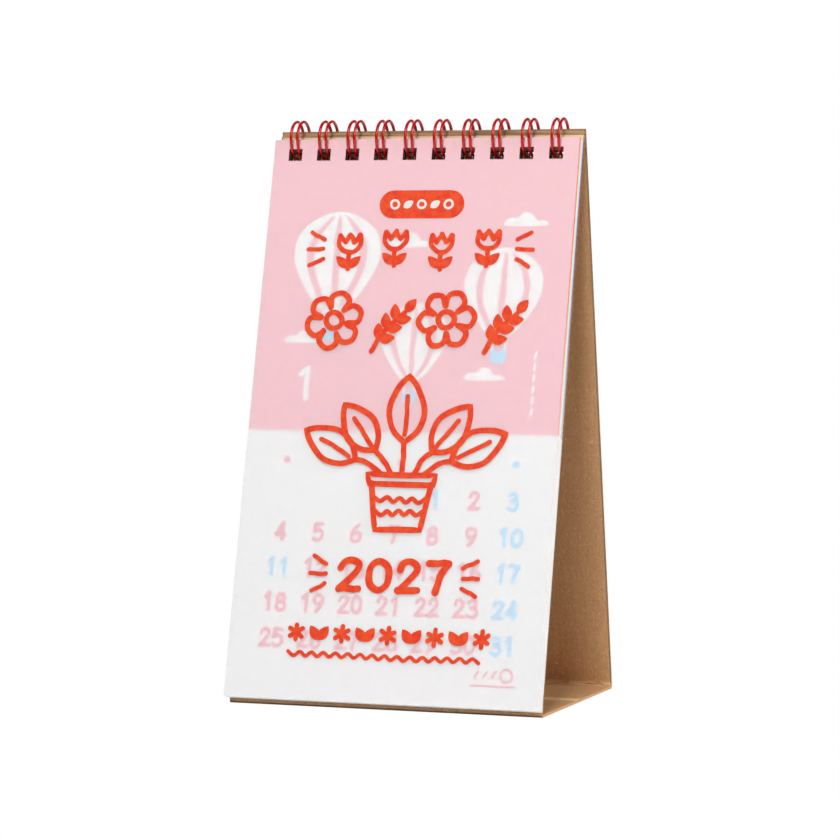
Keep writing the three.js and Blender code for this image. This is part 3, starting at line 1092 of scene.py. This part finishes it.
def potted_plant(ink, centre, width):
    """A pot with two wavy bands, and five leaves that fan out on stems of their own."""
    x, rim = centre
    half_rim, half_foot, depth = 8.6, 6.4, 12.6
    pot = ((-half_rim, -2.6), (-half_foot, -2.6 - depth), (half_foot, -2.6 - depth), (half_rim, -2.6))
    ink.stroke(around(centre, 1, pot), width)
    collar = ((-half_rim - 1.2, 0), (half_rim + 1.2, 0), (half_rim + 0.6, -2.8), (-half_rim - 0.6, -2.8))
    ink.stroke(around(centre, 1, collar), width, closed=True)
    for drop in (7.0, 10.6):
        reach = half_rim - drop * 0.17
        wave = [(x - reach + 2 * reach * i / 8, rim - drop + 0.6 * (-1) ** i) for i in range(9)]
        ink.stroke(curve(wave, 4), 0.75 * width)
    fan = ((-6.4, 170, 7.5, 15.0), (-3.4, 128, 7.5, 16.5), (0.0, 90, 8.5, 18.5), (3.4, 52, 7.5, 16.5),
           (6.4, 10, 7.5, 15.0))
    for foot, angle, stem, blade in fan:
        heading = direction(math.radians(angle))
        outermost = abs(foot) > 5
        start = Vector((x + foot, rim + 0.4))
        neck = start + heading * stem + Vector((0, 2.2 if outermost else 0))
        ink.stroke(curve([start, start.lerp(neck, 0.5) + Vector((0, 0.9)), neck], 5), 0.9 * width)
        leaf(ink, neck, neck + heading * blade + Vector((0, 5.5 if outermost else 0)), 0.27, width)


def burst(ink, centre, side, width):
    """Three short rays that open to one side."""
    for rise in (3.0, 0.0, -3.0):
        start = Vector((centre[0], centre[1] + rise * 0.9))
        ink.stroke([start, start + Vector((side * (4.4 - abs(rise) * 0.2), rise * 0.7))], width)


def print_badge(ink, white):
    """A solid tablet with round ends, and a row of leaves and rings left white on it."""
    x, y = BADGE
    width, height = BADGE_SIZE
    outline = []
    for turn in (1, -1):
        outline += circle((x + turn * (width - height) / 2, y), height, 12, -turn * math.pi / 2, math.pi)
    ink.shape(outline, CRISP)
    for k in range(5):
        spot = x + 3.9 * (k - 2)
        if k % 2:
            solid_leaf(white, (spot - 1.3, y - 0.9), (spot + 1.3, y + 0.9), 0.32)
        else:
            white.stroke(circle((spot, y), 2.3, 16), 0.6, closed=True, feather=CRISP)


def print_cover(place, lift):
    """The cover's print in orange: plain garden motifs round the year."""
    ink, white = Ink(), Ink(STEADY)
    print_badge(ink, white)
    for k in range(4):
        tulip(ink, (-19.5 + 13.4 * k, 125.6 + (0.5 if k % 2 else -0.5)), 9.8, 0.8)
    burst(ink, (-27.0, 126.0), -1, 0.7)
    burst(ink, (29.0, 126.0), 1, 0.7)
    blossom(ink, (-22.0, 105.5), 16.0, 0.95, 0.3)
    twig(ink, (-10.2, 97.0), (-1.5, 108.0), 0.85)
    blossom(ink, (10.6, 106.0), 16.0, 0.95, 0.1)
    twig(ink, (22.2, 97.0), (30.6, 108.0), 0.85)
    potted_plant(ink, (1.5, 62.5), 0.98)
    write_number(ink, str(YEAR), YEAR_PLACE, 8.0, 1.85, 0.12, 1.28)
    for side in (-1, 1):
        burst(ink, (YEAR_PLACE[0] + side * 19.5, YEAR_PLACE[1]), side, 0.7)
    for k in range(9):
        x = -25.0 + 6.6 * k
        if k % 2:
            solid_leaf(ink, (x, 16.4), (x - 2.6, 20.2))
            solid_leaf(ink, (x, 16.4), (x + 2.6, 20.2))
        else:
            star(ink, (x, 18.3), 2.1, 0.75, 0.5)
    wave = [(-27.0 + 1.75 * i, 12.4 + 0.55 * (-1) ** i) for i in range(32)]
    ink.stroke(curve(wave, 5), 0.6)
    orange = ink_material("orange_ink", DEEP_ORANGE, ORANGE, False)
    pale = ink_material("badge_white", scaled_colour(WHITE_INK, 0.95), WHITE_INK, False)
    for piece in (ink.piece("cover_orange_print", place, lift, orange),
                  white.piece("cover_badge_print", place, lift + PRINT_RISE, pale)):
        attach(piece, "cover_leaf", "cover_paper")


def build_cover():
    place = page_place("cover_sheet", COVER_BELLY)
    page = sheet_page("cover_page", "cover_sheet", place, cover_material())
    attach(page, "cover_leaf", "cover_paper", "cover_sheet")
    print_cover(place, sheet_thickness("cover_sheet") + INK_LIFT)


# Wire

def wire_course():
    """The wire's course, unrolled: x along the row, s round the ring."""
    half = LEG_SPACING / 2
    spine = RING_RADIUS * SPINE_ANGLE
    tip = spine - WIRE_DIAMETER - CLOSURE_GAP + 2 * math.pi * RING_RADIUS
    leg_start, leg_end = spine + ROOT_BEND_RADIUS, tip - half
    course = []

    def arc(x, s, radius, start, end, count):
        for angle in steps(start, end, count)[1:]:
            course.append((x + radius * math.cos(angle), s + radius * math.sin(angle)))

    def leg(x, start, end):
        course.extend((x, s) for s in steps(start, end, LEG_STEPS)[1:])

    for index, x in enumerate(hole_centres()):
        left, right = x - half, x + half
        if index == 0:
            course += [(left, spine), (left, leg_start)]
        else:
            course.append((left - ROOT_BEND_RADIUS, spine))
            arc(left - ROOT_BEND_RADIUS, leg_start, ROOT_BEND_RADIUS, -math.pi / 2, 0, ROOT_STEPS)
        leg(left, leg_start, leg_end)
        arc(x, leg_end, half, math.pi, 0, TIP_STEPS)
        leg(right, leg_end, leg_start)
        if index == HOLE_COUNT - 1:
            course.append((right, spine))
        else:
            arc(right + ROOT_BEND_RADIUS, leg_start, ROOT_BEND_RADIUS, math.pi, 1.5 * math.pi, ROOT_STEPS)
    return course


def build_wire():
    low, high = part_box("binding_wire")
    middle = (low.x + high.x) / 2 / MM
    rng = random.Random(DRAW_SEED)
    path = bpy.data.curves.new("twin_loop_wire", "CURVE")
    path.dimensions = "3D"
    path.bevel_depth = WIRE_DIAMETER / 2 * MM
    path.bevel_resolution = 4
    path.use_fill_caps = True
    course = wire_course()
    spline = path.splines.new("POLY")
    spline.points.add(len(course) - 1)
    wander = [rng.uniform(-LOOP_WANDER, LOOP_WANDER) for _ in range(HOLE_COUNT + 1)]
    for point, (x, s) in zip(spline.points, course):
        angle = s / RING_RADIUS
        loop = min(max(int(x / HOLE_PITCH + HOLE_COUNT / 2), 0), HOLE_COUNT)
        place = Vector((middle + x + wander[loop] * math.sin(angle),
                        ring_axis.x + RING_RADIUS * math.cos(angle),
                        ring_axis.y + RING_RADIUS * math.sin(angle)))
        point.co = (*(place * MM), 1.0)
    tube = put("twin_loop_wire", path)
    depsgraph = bpy.context.evaluated_depsgraph_get()
    mesh = bpy.data.meshes.new_from_object(tube.evaluated_get(depsgraph))
    bpy.data.objects.remove(tube)
    mesh.name = "twin_loop_wire"
    mesh.materials.clear()
    mesh.materials.append(wire_material())
    shade_smooth(mesh)
    attach(put("twin_loop_wire", mesh), "stand_front", "red_wire", "binding_wire")


# Stand

def lean_of_back():
    """The back board's angle to the table, from its box."""
    low, high = (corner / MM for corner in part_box("back_board"))
    angle = FRONT_ANGLE
    for _ in range(8):
        angle = math.atan2(high.z, rear_fold.x - low.y - BOARD_THICKNESS * math.sin(angle))
    return angle


def fold_reach(angle):
    """How far from a fold's corner its rounding starts, along both panels."""
    return FOLD_RADIUS / math.tan(angle / 2)


def half_fold_rows(angle):
    """Rows of a panel's end, round the outside of its fold up to the plane of the mitre."""
    reach = fold_reach(angle)
    sweep = (math.pi - angle) / 2
    mitre = BOARD_THICKNESS / math.tan(angle / 2)
    rows = []
    for i in range(FOLD_STEPS + 1):
        turn = sweep * (1 - i / FOLD_STEPS)
        outer = (reach - FOLD_RADIUS * math.sin(turn) + FOLD_GAP, FOLD_RADIUS * (math.cos(turn) - 1))
        inner = mitre + (reach - mitre) * i / FOLD_STEPS + FOLD_GAP
        rows.append((outer, (inner, -BOARD_THICKNESS)))
    return rows


def panel_rows(*runs):
    return [((s, 0.0), (s, -BOARD_THICKNESS)) for s in runs]


def board_columns():
    return steps(-BOARD_WIDTH / 2, BOARD_WIDTH / 2, BOARD_CELLS)


def on_slope(slope):
    return lambda u, v, h: slope.point(BOARD_SHIFT * slope.turn + u, v, h)


def build_stand():
    """The board strip: two upright boards, two base panels, and the skin of its folds."""
    kraft = kraft_material()
    back_angle = lean_of_back()
    back_slope = Slope(rear_fold, back_angle, backwards=True)
    front_end = panel_rows(fold_reach(FRONT_ANGLE))
    back_end = half_fold_rows(back_angle)
    for node, body, slope, rows in (("front_board", "stand_front", front_slope, front_end),
                                    ("back_board", "stand_back", back_slope, back_end)):
        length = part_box(node)[1].z / MM / slope.up.y
        hole_top = length - BOARD_MARGIN
        rows = rows + panel_rows(BOARD_START, hole_top - HOLE_HEIGHT, hole_top, length)
        board = slab(f"kraft_{node}", hole_columns(), rows, on_slope(slope), kraft, len(rows) - 3,
                     (0,), WORN_EDGE)
        attach(board, body, "kraft_board", node)
    floor_front = Slope(front_fold, 0.0)
    floor_rear = Slope(rear_fold, 0.0, backwards=True)
    for node, body, slope, rows in (("base_front_panel", "base_front", floor_front, front_end),
                                    ("base_rear_panel", "base_rear", floor_rear, back_end)):
        rows = rows + panel_rows(PANEL_START, BASE_DEPTH / 2 - SCORE_REACH)
        upside = [((inner_v, -inner_h), (v, -h)) for (v, h), (inner_v, inner_h) in rows]
        panel = slab(f"kraft_{node}", board_columns(), upside, on_slope(slope), kraft, None,
                     (0, len(rows) - 1), WORN_EDGE)
        attach(panel, body, "kraft_board", node)
    build_front_fold(kraft)
    build_crease(kraft)


def bending_skin(name, rows, place, kraft):
    """A strip of the board that crosses a fold line."""
    skin = slab(name, board_columns(), rows, place, kraft, None, (0, len(rows) - 1), WORN_EDGE)
    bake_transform(skin)


def build_front_fold(kraft):
    """The skin round the front fold."""
    reach = fold_reach(FRONT_ANGLE)
    centre = front_slope.point(0, reach, -FOLD_RADIUS)
    start = math.atan2(front_slope.out.y, front_slope.out.x)
    turns = steps(start + math.pi - FRONT_ANGLE, start, 2 * FOLD_STEPS)
    rows = [((turn, FOLD_RADIUS), (turn, FOLD_RADIUS - BOARD_THICKNESS)) for turn in turns]

    def place(u, turn, radius):
        return Vector((BOARD_SHIFT + u, centre.y + radius * math.cos(turn),
                       centre.z + radius * math.sin(turn)))

    bending_skin("kraft_front_fold", rows, place, kraft)


def build_crease(kraft):
    """The scored stretch in the middle of the base, with its groove on top."""
    rows = []
    for y in steps(-SCORE_REACH, SCORE_REACH, SCORE_STEPS):
        dip = SCORE_DEPTH * math.exp(-(y / SCORE_HALF_WIDTH) ** 2)
        rows.append(((crease.x + y, BOARD_THICKNESS - dip), (crease.x + y, 0.0)))

    def place(u, y, z):
        return Vector((BOARD_SHIFT + u, y, z))

    bending_skin("kraft_crease", rows, place, kraft)


# Camera, light and floor

def build_camera():
    level = math.cos(CAMERA_PITCH)
    away = Vector((math.sin(CAMERA_YAW) * level, -math.cos(CAMERA_YAW) * level, math.sin(CAMERA_PITCH)))
    right = Vector((0, 0, 1)).cross(away).normalized()
    up = away.cross(right)
    cos, sin = math.cos(CAMERA_ROLL), math.sin(CAMERA_ROLL)
    turn = Matrix((right * cos + up * sin, up * cos - right * sin, away)).transposed().to_4x4()
    data = bpy.data.cameras.new("camera")
    data.sensor_width = SENSOR_WIDTH
    data.lens = CAMERA_LENS
    data.clip_start = 0.01
    data.clip_end = 20.0
    camera = put("camera", data)
    camera.matrix_world = Matrix.Translation((CAMERA_TARGET + away * CAMERA_DISTANCE) * MM) @ turn
    bpy.context.scene.camera = camera


def area_light(name, place, target, width, height, power):
    data = bpy.data.lights.new(name, "AREA")
    data.shape = "RECTANGLE"
    data.size = width
    data.size_y = height
    data.energy = power
    turn = (Vector(target) - Vector(place)).to_track_quat("-Z", "Y").to_matrix().to_4x4()
    put(name, data).matrix_world = Matrix.Translation(place) @ turn


def build_floor():
    """A pale floor that reads as white to the camera, and lights the object a little from below."""
    n = Nodes("pale_floor")
    seen = n.ray("Is Camera Ray")
    glow = n.plus(n.times(seen, FLOOR_GLOW - FLOOR_BOUNCE), FLOOR_BOUNCE)
    colour = n.mix(seen, srgb(248, 248, 248), (0, 0, 0, 1))
    material = n.surface(n.principled(colour, 0.9, emission_color=(1, 1, 1, 1), emission_strength=glow,
                                      specular_ior_level=0.0))
    corners = [(x * FLOOR_HALF, y * FLOOR_HALF, 0) for x, y in ((-1, -1), (1, -1), (1, 1), (-1, 1))]
    floor = new_object("floor", corners, [(0, 1, 2, 3)], material)


def build_world():
    """White all round. The camera sees it brighter than it lights the object."""
    world = bpy.data.worlds.new("studio")
    world.use_nodes = True
    tree = world.node_tree
    background = tree.nodes["Background"]
    background.inputs["Color"].default_value = (1, 1, 1, 1)
    ray = tree.nodes.new("ShaderNodeLightPath")
    level = tree.nodes.new("ShaderNodeMapRange")
    level.inputs["To Min"].default_value = LIGHT_LEVEL
    level.inputs["To Max"].default_value = 1.0
    tree.links.new(ray.outputs["Is Camera Ray"], level.inputs["Value"])
    tree.links.new(level.outputs["Result"], background.inputs["Strength"])
    bpy.context.scene.world = world


def build_studio():
    build_floor()
    build_world()
    area_light("key", (0.16, -1.37, 1.5), (0, 0, 0.08), 0.4, 1.2, 24)
    area_light("right", (1.4, -0.8, 0.7), (0, 0, 0.07), 0.4, 0.4, 2.5)
    area_light("side", (1.6, 0.0, 1.0), (0, 0, 0.06), 0.8, 0.8, 14)
    area_light("back", (-0.9, 1.5, 1.2), (0, 0, 0.07), 1.1, 1.1, 11)
    bpy.context.scene.view_settings.view_transform = "Standard"


build_camera()
build_studio()
build_stand()
places = build_months()
month_lift = sheet_thickness("january_sheet") + INK_LIFT
print_january(places[1], month_lift)
print_february(places[2], month_lift)
build_cover()
build_wire()
